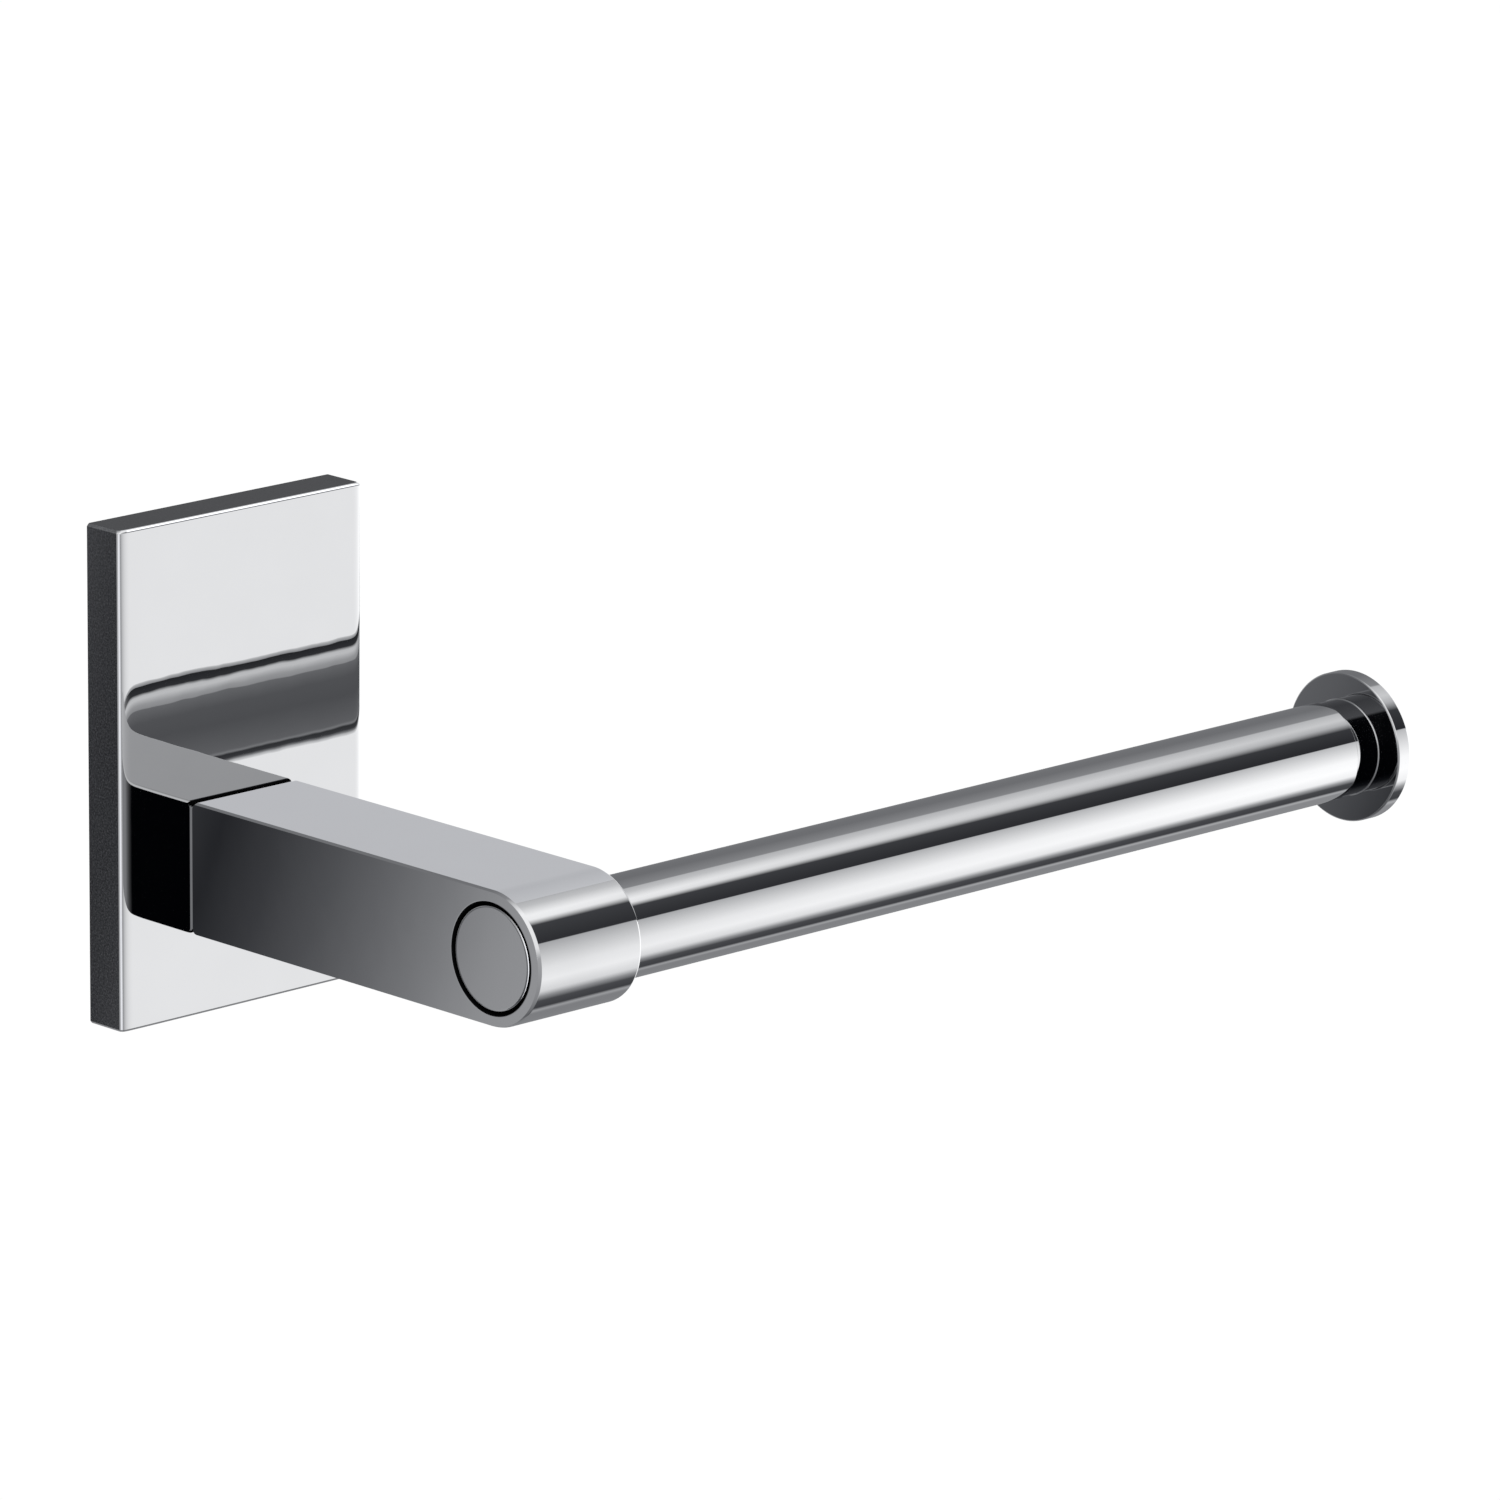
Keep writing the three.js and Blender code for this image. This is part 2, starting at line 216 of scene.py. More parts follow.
# Where a point of a turned body lies: along the bar, out of the wall, or upright
def along_bar(axial, radius, turn):
    return axial, AXIS.y - radius * math.cos(turn), AXIS.z + radius * math.sin(turn)


def out_of_wall(centre):
    def place(axial, radius, turn):
        return centre.x + radius * math.cos(turn), axial, centre.z + radius * math.sin(turn)

    return place


def upright(centre):
    def place(axial, radius, turn):
        return centre.x + radius * math.cos(turn), centre.y + radius * math.sin(turn), axial

    return place


def lathe(profile, place=along_bar, steps=ROUND_STEPS, closed=True):
    """Verts and faces of a turned body. Its profile holds (axial, radius) points, or
    (axial, half width across the flats, sides) where it is a polygon. A radius of 0 is one vertex on the
    axis. A closed profile joins its last point to its first."""
    verts, rings = [], []
    for axial, radius, *sides in profile:
        if radius == 0:
            rings.append([len(verts)] * steps)
            verts.append(place(axial, 0, 0))
            continue
        points = []
        for k in range(steps):
            turn = 2 * math.pi * k / steps
            corner = 1
            if sides:
                part = 2 * math.pi / sides[0]
                corner = math.cos(turn % part - part / 2)
            points.append(place(axial, radius / corner, turn))
        rings.append(loop_of(verts, points))
    pairs = list(zip(rings, rings[1:])) + ([(rings[-1], rings[0])] if closed else [])
    faces = []
    for a, b in pairs:
        for k in range(steps):
            n = (k + 1) % steps
            unique = list(dict.fromkeys([a[k], a[n], b[n], b[k]]))
            if len(unique) > 2:
                faces.append(unique)
    return verts, faces


def rim(face, radius, side, size=RIM_EDGE):
    """Profile points of a rounded outer rim, from the end face to the round. Side is 1 or -1, the way the
    body lies from its end face."""
    return [(face + side * along, radius - inset) for along, inset in rounding(size)]


# ---- Materials ----
CHROME = (0.567, 0.57, 0.577)


def new_material(name):
    material = bpy.data.materials.new(name)
    material.use_nodes = True
    nodes, links = material.node_tree.nodes, material.node_tree.links
    return material, nodes, links, nodes["Principled BSDF"]


def noise(nodes, links, scale, detail=3.0, stretch=(1, 1, 1)):
    """Noise in the object's own metres, drawn out along an axis by a stretch below 1."""
    place = nodes.new("ShaderNodeTexCoord")
    mapping = nodes.new("ShaderNodeMapping")
    mapping.inputs["Scale"].default_value = stretch
    texture = nodes.new("ShaderNodeTexNoise")
    texture.inputs["Scale"].default_value = scale
    texture.inputs["Detail"].default_value = detail
    links.new(place.outputs["Object"], mapping.inputs["Vector"])
    links.new(mapping.outputs["Vector"], texture.inputs["Vector"])
    return texture.outputs["Fac"]


def remap(nodes, links, value, low, high, to_low, to_high):
    node = nodes.new("ShaderNodeMapRange")
    node.inputs["From Min"].default_value = low
    node.inputs["From Max"].default_value = high
    node.inputs["To Min"].default_value = to_low
    node.inputs["To Max"].default_value = to_high
    links.new(value, node.inputs["Value"])
    return node.outputs["Result"]


def two_tone(nodes, links, value, dark, light, low=0.3, high=0.7):
    ramp = nodes.new("ShaderNodeValToRGB")
    ramp.color_ramp.elements[0].position = low
    ramp.color_ramp.elements[0].color = (*dark, 1)
    ramp.color_ramp.elements[1].position = high
    ramp.color_ramp.elements[1].color = (*light, 1)
    links.new(value, ramp.inputs["Fac"])
    return ramp.outputs["Color"]


def shade_of(color, share):
    return tuple(channel * share for channel in color)


def bump(nodes, links, shader, height, distance):
    node = nodes.new("ShaderNodeBump")
    node.inputs["Distance"].default_value = distance
    links.new(height, node.inputs["Height"])
    links.new(node.outputs["Normal"], shader.inputs["Normal"])


def shadow(name, color):
    """The dark of a deep narrow gap, with a trace of grime."""
    material, nodes, links, shader = new_material(name)
    shader.inputs["Roughness"].default_value = 0.9
    shader.inputs["Specular IOR Level"].default_value = 0.02
    grime = noise(nodes, links, 700, 3)
    links.new(two_tone(nodes, links, grime, shade_of(color, 0.5), color), shader.inputs["Base Color"])
    return material


def chrome(name, polish=0.02, waviness=0.004 * MM, along=(1, 1, 1), wiped=0.03):
    """Bright chrome: clean reflections, a faint wipe in the polish and a trace of waviness under it."""
    material, nodes, links, shader = new_material(name)
    shader.inputs["Metallic"].default_value = 1
    wipe = noise(nodes, links, 120, 4, along)
    links.new(two_tone(nodes, links, wipe, shade_of(CHROME, 0.985), CHROME), shader.inputs["Base Color"])
    links.new(remap(nodes, links, wipe, 0.35, 0.75, polish, polish + wiped), shader.inputs["Roughness"])
    bump(nodes, links, shader, noise(nodes, links, 160, 1.5, along), waviness)
    return material


def metal(name, color, low, high, scale=900, dark=0.8, depth=0.004 * MM):
    """Metal with grain in its roughness, colour and surface."""
    material, nodes, links, shader = new_material(name)
    shader.inputs["Metallic"].default_value = 1
    grain = noise(nodes, links, scale, 5)
    links.new(two_tone(nodes, links, grain, shade_of(color, dark), color), shader.inputs["Base Color"])
    links.new(remap(nodes, links, grain, 0.3, 0.7, low, high), shader.inputs["Roughness"])
    bump(nodes, links, shader, grain, depth)
    return material


def plastic(name, color):
    """Moulded nylon with a fine spark-eroded texture."""
    material, nodes, links, shader = new_material(name)
    shader.inputs["Roughness"].default_value = 0.5
    grain = noise(nodes, links, 1500, 3)
    links.new(two_tone(nodes, links, grain, shade_of(color, 0.9), color), shader.inputs["Base Color"])
    bump(nodes, links, shader, grain, 0.006 * MM)
    return material


PLATE_CHROME = chrome("plate chrome", 0.006, waviness=0.008 * MM, wiped=0.012)
# Painted shade: the plate's sides and top are darker copies of its chrome, for how the light falls on them.
# The sides are at 0.85 and the top at 0.25 of the chrome's colour, and both have a satin roughness.
SHADED_SATIN_SIDE = metal("satin chrome side, painted shade", shade_of(CHROME, 0.85), 0.1, 0.2, scale=3500, dark=0.6)
SHADED_SATIN_TOP = metal("satin chrome top, painted shade", shade_of(CHROME, 0.25), 0.1, 0.2, scale=3500, dark=0.4)
ARM_CHROME = chrome("arm chrome")
CAP_CHROME = chrome("cap chrome", 0.05)
BAR_CHROME = chrome("bar chrome", along=(0.15, 1, 1))
END_CHROME = chrome("end chrome")
RECESS = shadow("shadowed recess", (0.004, 0.004, 0.0045))
CAST_ZINC = metal("cast zinc inside", (0.42, 0.43, 0.44), 0.45, 0.7, scale=500, depth=0.02 * MM)
ZINC_STEEL = metal("zinc plated steel", (0.6, 0.61, 0.62), 0.25, 0.4, scale=400)
BRIGHT_STEEL = metal("turned steel", (0.6, 0.61, 0.62), 0.2, 0.35)
BLACK_STEEL = metal("black oxide steel", (0.06, 0.06, 0.065), 0.35, 0.5)
BRASS = metal("turned brass", (0.62, 0.46, 0.2), 0.2, 0.4)
NYLON = plastic("nylon", (0.75, 0.74, 0.68))


# ---- Arm ----
def arm_outline(inset):
    """The arm's side outline, moved in by an inset: (y, z) points of the low wall corner, the round outer
    end from its bottom to its top, and the high wall corner."""
    half = ARM_HALF - inset
    base = ARM[1].y - inset
    size = max(ARM_FOOT_EDGE - inset, FINE_EDGE)
    corner = rounding(size)
    low = [(base - along, AXIS.z - half + corner_inset) for along, corner_inset in corner]
    high = [(y, 2 * AXIS.z - z) for y, z in reversed(low)]
    steps = ROUND_STEPS // 2
    turns = [math.radians(-90 + 180 * k / steps) for k in range(steps + 1)]
    arc = [(AXIS.y - half * math.cos(turn), AXIS.z + half * math.sin(turn)) for turn in turns]
    return low, arc, high


def circle(x, radius):
    """Points of a circle round the bar's axis, from its lowest point forwards and up."""
    turns = [math.radians(-90) + 2 * math.pi * k / ROUND_STEPS for k in range(ROUND_STEPS)]
    return [along_bar(x, radius, turn) for turn in turns]


def holed_face(faces, outline, hole):
    """A flat side of the arm with its round hole: a strip round the outer end and two panels towards
    the wall."""
    steps = ROUND_STEPS // 2
    corner = EDGE_STEPS + 1
    low, arc, high = outline[:corner], outline[corner:-corner], outline[-corner:]
    front, back = hole[: steps + 1], hole[steps:] + hole[:1]
    faces.extend([arc[k], arc[k + 1], front[k + 1], front[k]] for k in range(steps))
    half_way = len(back) // 2
    faces.append([arc[-1], *back[: half_way + 1], *reversed(high)])
    faces.append([low[0], high[-1], *back[half_way:], arc[0], *reversed(low[1:])])


def build_arm():
    """A flat bar with a round outer end and, in its two sides, the holes for the cap and the tube."""
    verts, faces, loops = [], [], []
    left, right = ARM[0].x, ARM[1].x
    sides = [(left, ARM_LEFT_EDGE * FLAT_BEVEL + FLAT_BAND)]
    sides += [(left + along, inset * FLAT_BEVEL) for along, inset in rounding(ARM_LEFT_EDGE, SOFT_BEVEL)]
    sides += [(right - along, inset) for along, inset in reversed(rounding(ARM_RIGHT_EDGE))]
    for x, inset in sides:
        points = [point for part in arm_outline(inset) for point in part]
        loops.append(loop_of(verts, [(x, y, z) for y, z in points]))
    for a, b in zip(loops, loops[1:]):
        bridge(faces, a, b)
    bores = []
    for side, x, loop, radius, depth in (
        (1, left, loops[0], CAP_RADIUS + CAP_GAP, CAP_RECESS),
        (-1, right, loops[-1], TUBE_RADIUS + TUBE_GAP, TUBE_RECESS),
    ):
        rings = [circle(x, radius + HOLE_EDGE + FLAT_BAND)]
        rings += [circle(x + side * along, radius + inset) for along, inset in rounding(HOLE_EDGE)]
        rings += [circle(x + side * depth, radius), circle(x + side * depth, CROSS_BORE)]
        rings = [loop_of(verts, ring) for ring in rings]
        holed_face(faces, loop, rings[0])
        for a, b in zip(rings, rings[1:]):
            bridge(faces, a, b)
        bores.append(rings[-1])
    bridge(faces, *bores)
    arm = make_object("arm_bar", verts, faces, ARM_CHROME, "wall_mount", "arm", "arm_chrome")
    foot = ARM[1].y - ARM_FOOT_EDGE
    mouth_radius = CAP_RADIUS + CAP_GAP + HOLE_EDGE

    def in_shadow(centre, normal):
        """The rounding at the wall plate, and the walls of the two holes."""
        in_joint = centre.y > foot and normal.y > 0.2 and abs(normal.z) > abs(normal.x)
        from_axis = Vector((0, centre.y - AXIS.y, centre.z - AXIS.z)).length
        in_hole = from_axis < mouth_radius and abs(normal.x) < 0.999 and centre.x < right - HOLE_EDGE / 2
        return in_joint or in_hole

    paint(arm, RECESS, in_shadow)
    return arm


# ---- Wall plate ----
# Polishing has drawn the front down towards its long edges: (depth, reach) of each slope, left and right.
LEFT_SLOPES = ((0.22 * MM, 0.6 * MM), (0.06 * MM, 6 * MM))
RIGHT_SLOPES = ((0.1 * MM, 0.35 * MM), (0.02 * MM, 3 * MM))
CROWN_WIDTH = 20 * MM
CROWN_STEPS = 32


def plate_side(slopes):
    """Half of the plate's plan section, as (distance from the side, drop from the front) pairs."""

    def drop(distance):
        return sum(depth * math.exp(-distance / reach) for depth, reach in slopes)

    bevel = [(along, drop(PLATE_EDGE) + inset) for along, inset in rounding(PLATE_EDGE, SOFT_BEVEL)]
    crown = []
    for k in range(1, CROWN_STEPS + 1):
        distance = PLATE_EDGE * (CROWN_WIDTH / PLATE_EDGE) ** (k / CROWN_STEPS)
        crown.append((distance, drop(distance)))
    return bevel + crown


def plate_section(inset, z):
    """The plate's plan section at one height, from its back left corner round the front to its back right."""
    left, right = PLATE[0].x + inset, PLATE[1].x - inset
    back, front = PLATE[1].y, PLATE[0].y + inset
    points = [(left, back, z)]
    points += [(left + distance, front + drop, z) for distance, drop in plate_side(LEFT_SLOPES)]
    points += [(right - distance, front + drop, z) for distance, drop in reversed(plate_side(RIGHT_SLOPES))]
    points.append((right, back, z))
    return points


def box_mesh(low, high):
    mesh = bpy.data.meshes.new("box")
    work = bmesh.new()
    bmesh.ops.create_cube(work, size=1)
    size = Vector(high) - Vector(low)
    placed = Matrix.Translation(middle((low, high))) @ Matrix.Diagonal((*size, 1))
    bmesh.ops.transform(work, matrix=placed, verts=work.verts)
    work.to_mesh(mesh)
    work.free()
    return mesh


def rod_mesh(start, end, radius, place):
    mesh = bpy.data.meshes.new("rod")
    profile = [(start, 0), (start, radius), (end, radius), (end, 0)]
    verts, faces = lathe(profile, place, SMALL_STEPS, closed=False)
    mesh.from_pydata(verts, [], faces)
    turn_faces_out(mesh)
    return mesh


def carve(mesh, steps):
    """The mesh after boolean steps in order, each an operation and the mesh that it works with."""
    target = bpy.data.objects.new("carved", mesh)
    made = [target]
    for operation, tool in steps:
        helper = bpy.data.objects.new("tool", tool)
        made.append(helper)
        modifier = target.modifiers.new("shape", "BOOLEAN")
        modifier.object = helper
        modifier.operation = operation
        modifier.solver = "EXACT"
    for obj in made:
        bpy.context.scene.collection.objects.link(obj)
    bpy.context.view_layer.update()
    evaluated = target.evaluated_get(bpy.context.evaluated_depsgraph_get())
    carved = bpy.data.meshes.new_from_object(evaluated)
    for obj in made:
        bpy.data.objects.remove(obj)
    return carved


def build_plate():
    """The bracket's cover: a slab with a pocket behind it, a hook and a boss in the pocket, screw holes."""
    low, high = PLATE
    verts, faces = [], []
    edge = rounding(PLATE_EDGE, SOFT_BEVEL)
    levels = [(inset, low.z + along) for along, inset in edge]
    levels += [(inset, high.z - along) for along, inset in reversed(edge)]
    loops = [loop_of(verts, plate_section(inset, z)) for inset, z in levels]
    for a, b in zip(loops, loops[1:]):
        bridge(faces, a, b)
    faces += [loops[0], loops[-1]]
    slab = bpy.data.meshes.new("wall_plate_cover")
    slab.from_pydata(verts, [], faces)
    turn_faces_out(slab)

    past = 2 * MM  # how far a cutting tool reaches past what it cuts
    pocket_low = Vector((low.x + PLATE_RIM, low.y + PLATE_FRONT, low.z + PLATE_RIM))
    pocket_high = Vector((high.x - PLATE_RIM, high.y, high.z - PLATE_RIM))
    hook_low = (-HOOK_HALF_WIDTH, high.y - HOOK_FRONT, pocket_high.z - HOOK_HEIGHT)
    hook_high = (HOOK_HALF_WIDTH, high.y - HOOK_BACK, pocket_high.z + SUNK)
    boss_low = (-BOSS_HALF_WIDTH, pocket_low.y - SUNK, pocket_low.z - SUNK)
    boss_high = (BOSS_HALF_WIDTH, high.y - BOSS_BACK, pocket_low.z + BOSS_HEIGHT)
    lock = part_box("lock_screw")
    lock_hole = half_size(lock, 0) + LOCK_HOLE_PLAY
    steps = [
        ("DIFFERENCE", box_mesh(pocket_low, pocket_high + Vector((0, past, 0)))),
        ("UNION", box_mesh(hook_low, hook_high)),
        ("UNION", box_mesh(boss_low, boss_high)),
        ("DIFFERENCE", rod_mesh(low.z - past, pocket_low.z + past, lock_hole, upright(middle(lock)))),
    ]
    screw_hole = SCREW_SHANK + SCREW_HOLE_PLAY
    for side in ("left", "right"):
        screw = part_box(f"arm_screw_{side}")
        hole = rod_mesh(low.y - past, pocket_low.y + past, screw_hole, out_of_wall(middle(screw)))
        steps.append(("DIFFERENCE", hole))
    cover = carve(slab, steps)
    plate = adopt("wall_plate_cover", cover, PLATE_CHROME, "wall_mount", "wall_plate", "plate_chrome")
    slack = 0.1 * MM  # keeps the pocket's own walls inside the test

    def in_pocket(centre, _normal=None):
        inside_x = pocket_low.x - slack < centre.x < pocket_high.x + slack
        inside_z = pocket_low.z - slack < centre.z < pocket_high.z + slack
        return inside_x and inside_z and centre.y > low.y + PLATE_EDGE * 3

    def on_side(centre, normal):
        return abs(normal.y) < 0.1 and not in_pocket(centre)

    def on_top(centre, normal):
        return normal.z > 0.9 and not in_pocket(centre)

    # Painted shade: the sides and the top get the darker copies of the chrome.
    paint(plate, SHADED_SATIN_SIDE, on_side)
    paint(plate, SHADED_SATIN_TOP, on_top)
    paint(plate, CAST_ZINC, in_pocket)
    return plate


# ---- Turned pieces of the bar ----
def build_cap():
    """The disc in the arm's left face, on its spigot. All behind its rim is in the hole's shadow."""
    face = CAP[0].x + CAP_SINK
    back = CAP[0].x + CAP_THICKNESS
    profile = [(face, 0), (face, CAP_RADIUS - CAP_EDGE - FLAT_BAND), *rim(face, CAP_RADIUS, 1, CAP_EDGE)]
    profile += [(back, CAP_RADIUS), (back, CAP_SPIGOT), (CAP[1].x, CAP_SPIGOT), (CAP[1].x, 0)]
    cap = make_object("cap_disc", *lathe(profile, closed=False), CAP_CHROME, "bar", "head_cap", "cap_chrome")
    paint(cap, RECESS, lambda centre, normal: centre.x > face + CAP_EDGE)
    return cap


def build_tube():
    """The long tube of the bar, open at both ends."""
    start, end = TUBE[0].x, TUBE[1].x
    bore = TUBE_RADIUS - TUBE_WALL
    profile = [(start, bore), *rim(start, TUBE_RADIUS, 1, FINE_EDGE)]
    profile += [*reversed(rim(end, TUBE_RADIUS, -1, FINE_EDGE)), (end, bore)]
    return make_object("tube", *lathe(profile), BAR_CHROME, "bar", "bar_tube", "bar_chrome")


def build_collar():
    """The neck between the tube and the disc."""
    start, end = COLLAR[0].x, COLLAR[1].x
    profile = [(start, COLLAR_BORE), (start, COLLAR_RADIUS)]
    profile += [(end - inset, COLLAR_RADIUS + along) for along, inset in rounding(COVE)]
    profile.append((end, COLLAR_BORE))
    return make_object("collar", *lathe(profile), END_CHROME, "bar", "end_collar", "end_chrome")


def build_disc():
    """The end disc, which meets the neck in a ring."""
    start, end = DISC[0].x, DISC[1].x
    profile = [(start, 0), (start, COLLAR_RADIUS), *rim(start, DISC_RADIUS, 1)]
    profile += [*reversed(rim(end, DISC_RADIUS, -1)), (end, DISC_RADIUS / 2), (end, 0)]
    return make_object("disc", *lathe(profile, closed=False), END_CHROME, "bar", "end_disc", "end_chrome")


# ---- Fasteners and bracket ----
def build_arm_screw(side):
    """A socket head screw, its head towards the wall."""
    node = f"arm_screw_{side}"
    low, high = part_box(node)
    radius = half_size((low, high), 0)
    face, under = high.y, high.y - SCREW_HEAD_HEIGHT
    profile = [(face - SCREW_SOCKET_DEPTH, 0), (face - SCREW_SOCKET_DEPTH, SCREW_SOCKET, 6)]
    profile += [(face - FINE_EDGE, SCREW_SOCKET, 6), (face, SCREW_SOCKET * SOCKET_MOUTH)]
    profile += rim(face, radius, -1, SCREW_HEAD_EDGE)
    profile += [(under, radius), (under, SCREW_SHANK), (low.y, SCREW_SHANK), (low.y, 0)]
    mesh = lathe(profile, out_of_wall(middle((low, high))), FASTENER_STEPS, closed=False)
    return make_object(f"{node}_turned", *mesh, BLACK_STEEL, "wall_mount", node, "black_steel")


def build_washer(side):
    """The washer under a screw's head."""
    node = f"arm_washer_{side}"
    low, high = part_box(node)
    radius = half_size((low, high), 0)
    bore = SCREW_SHANK + WASHER_PLAY
    profile = [(high.y, bore), *rim(high.y, radius, -1, FINE_EDGE)]
    profile += [*reversed(rim(low.y, radius, 1, FINE_EDGE)), (low.y, bore)]
    mesh = lathe(profile, out_of_wall(middle((low, high))), FASTENER_STEPS)
    return make_object(f"{node}_turned", *mesh, BRIGHT_STEEL, "wall_mount", node, "bright_steel")


def build_lock_screw():
    """A grub screw with its socket facing down and its cone point up."""
    low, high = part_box("lock_screw")
    radius = half_size((low, high), 0)
    profile = [(low.z + LOCK_SOCKET_DEPTH, 0), (low.z + LOCK_SOCKET_DEPTH, LOCK_SOCKET, 6)]
    profile += [(low.z + FINE_EDGE, LOCK_SOCKET, 6), (low.z, LOCK_SOCKET * SOCKET_MOUTH)]
    profile += rim(low.z, radius, 1, FINE_EDGE)
    profile += [(high.z - LOCK_CONE, radius), (high.z, LOCK_POINT), (high.z, 0)]
    mesh = lathe(profile, upright(middle((low, high))), SMALL_STEPS, closed=False)
    return make_object("lock_grub_screw", *mesh, BLACK_STEEL, "lock", "lock_screw", "black_steel")


def build_bracket():
    """The pressed bracket, with the burr taken off its edges."""
    mesh = bpy.data.meshes.new("bracket_pressing")
    work = bmesh.new()
    work.from_mesh(frame["nodes"]["wall_bracket"].data)
    bmesh.ops.remove_doubles(work, verts=work.verts, dist=2e-6)
    bmesh.ops.dissolve_limit(work, angle_limit=math.radians(1), verts=work.verts, edges=work.edges)
    work.to_mesh(mesh)
    work.free()
    bracket = adopt("bracket_pressing", mesh, ZINC_STEEL, "wall_mount", "wall_bracket", "bracket_steel")
    edges = bracket.modifiers.new("broken edges", "BEVEL")
    edges.width = BRACKET_EDGE
    edges.segments = 2
    edges.limit_method = "ANGLE"
    edges.angle_limit = math.radians(35)
    bracket.modifiers.move(len(bracket.modifiers) - 1, 0)
    return bracket


# ---- Carried-over CAD nodes: hidden inside the arm and the bar, or seen only through a gap ----
def dress(node, material):
    """The look of a CAD node that is kept as it is."""
    obj = frame["nodes"][node]
    obj.data.materials.clear()
    obj.data.materials.append(material)
    obj.data.shade_smooth()
    obj.data.set_sharp_from_angle(angle=CAD_SHARP_ANGLE)


arm_piece = build_arm()
plate_piece = build_plate()
cap_piece = build_cap()
tube_piece = build_tube()
build_collar()
build_disc()
bracket_piece = build_bracket()
lock_piece = build_lock_screw()
fasteners = [build(side) for side in ("left", "right") for build in (build_arm_screw, build_washer)]

for node_name, node_material in {
    "bush_left": NYLON,
    "bush_right": NYLON,
    "circlip": BRIGHT_STEEL,
    "spindle_washer": BRIGHT_STEEL,
    "spindle": BRIGHT_STEEL,
    "tube_plug_inner": BRASS,
    "tube_plug_outer": BRASS,
    "end_stud": BRIGHT_STEEL,
}.items():
    dress(node_name, node_material)

# The arm and the bar mirror the studio, and not the things at the wall.
for piece in (plate_piece, bracket_piece, lock_piece, *fasteners):
    piece.visible_glossy = False


# ---- Studio light ----
REFLECTANCE = 0.57  # the share of light that the chrome gives back
PANEL_COLOR = (0.98, 0.99, 1.03)
PANEL_DISTANCE = 1.1


def linear(level):
    """Scene radiance of a display grey from 0 to 255."""
    share = level / 255
    return share / 12.92 if share <= 0.04045 else ((share + 0.055) / 1.055) ** 2.4


def cool_grey(level):
    """The scene colour of a grey, a little blue in the darker tones."""
    blue = min(level, 4) * max(0, 1 - (level / 255) ** 2)
    return linear(level), linear(level + blue / 4), linear(level + blue)


# Light that the chrome sees, by its height round the bar's axis in degrees: 0 is level in front of the wall,
# 90 straight up, 180 level behind it and -90 straight down. Each level is the grey that it leaves on chrome.
# Near the arm and near the disc it is the same studio, with the same edges.
NEAR_ARM = [
    (-180, 100), (-105, 120), (-97, 150),  # grey sweep, below and behind
    (-90, 60), (-75, 70),  # dark gap
    (-65, 140), (-55, 210), (-35, 235), (-15, 225), (25.5, 165),  # front softbox with a soft lower edge
    (26.5, 45), (58, 60),  # dark gap
    (68, 235), (77, 240), (95, 190), (105.5, 175),  # overhead strip
    (106.5, 130), (140, 105), (180, 100),  # grey ceiling behind
]
NEAR_DISC = [
    (-180, 100), (-105, 130), (-97, 165),
    (-90, 60), (-75, 70),
    (-65, 155), (-55, 240), (-35, 255), (-15, 250), (25.5, 185),
    (26.5, 40), (58, 55),
    (72, 175), (85, 200), (105.5, 180),
    (108.5, 130), (140, 105), (180, 100),
]
RIGHT_END = [
    (-180, 235), (-130, 245), (-105, 250), (-60, 262), (25, 265), (28, 60), (57, 60), (65, 200),
    (100, 190), (112, 180), (180, 235),
]
IN_FRONT = [
    (-180, 150), (-140, 140), (-106, 118), (-91, 90), (-57, 130), (-18, 150), (5, 160), (20, 225), (75, 240),
    (95, 190), (110, 130), (140, 108), (180, 150),
]
LEFT_SIDE = [
    (-180, 90), (-150, 76), (-110, 50), (-98, 20), (-80, 3), (60, 3), (80, 12), (87, 90), (110, 80),
    (135, 72), (180, 90),
]
FAR_LEFT = [
    (-180, 110), (-150, 90), (-110, 80), (-60, 150), (0, 190), (60, 215), (110, 160), (180, 110),
]
# From FAR_LEFT on, each sky takes over from the one before it as the direction turns to the right: the
# sideways parts of the direction, from -1 to 1, where it starts to show and where it is all that shows.
SKIES = [
    (LEFT_SIDE, -0.8, -0.72),
    (IN_FRONT, -0.6, -0.5),
    (NEAR_ARM, 0.3, 0.6),
    (NEAR_DISC, 0.655, 0.709),
    (RIGHT_END, 0.73, 0.82),
]


def ramp_of(nodes, links, place, stops):
    """A grey ramp from (position, level) pairs, with positions from 0 to 1."""
    node = nodes.new("ShaderNodeValToRGB")
    elements = node.color_ramp.elements
    elements.remove(elements[-1])
    for k, (position, level) in enumerate(stops):
        element = elements[0] if k == 0 else elements.new(position)
        element.position = position
        element.color = (*cool_grey(level), 1)
    links.new(place, node.inputs["Fac"])
    return node.outputs["Color"]


def even_fades(stops, steps):
    """The stops with more between them, so that a fade runs evenly in display grey and not in light."""
    finer = []
    for (start, start_level), (end, end_level) in zip(stops, stops[1:]):
        for k in range(steps):
            share = k / steps
            finer.append((start + (end - start) * share, start_level + (end_level - start_level) * share))
    return finer + [stops[-1]]


def sky_ramp(nodes, links, place, stops):
    return ramp_of(nodes, links, place, [((degrees + 180) / 360, level) for degrees, level in stops])


def math_node(nodes, links, operation, *values):
    node = nodes.new("ShaderNodeMath")
    node.operation = operation
    for socket, value in zip(node.inputs, values):
        if isinstance(value, (int, float)):
            socket.default_value = value
        else:
            links.new(value, socket)
    return node.outputs[0]


def mix_colors(nodes, links, share, a, b):
    node = nodes.new("ShaderNodeMix")
    node.data_type = "RGBA"
    links.new(share, node.inputs["Factor"])
    links.new(a, node.inputs["A"])
    links.new(b, node.inputs["B"])
    return node.outputs["Result"]


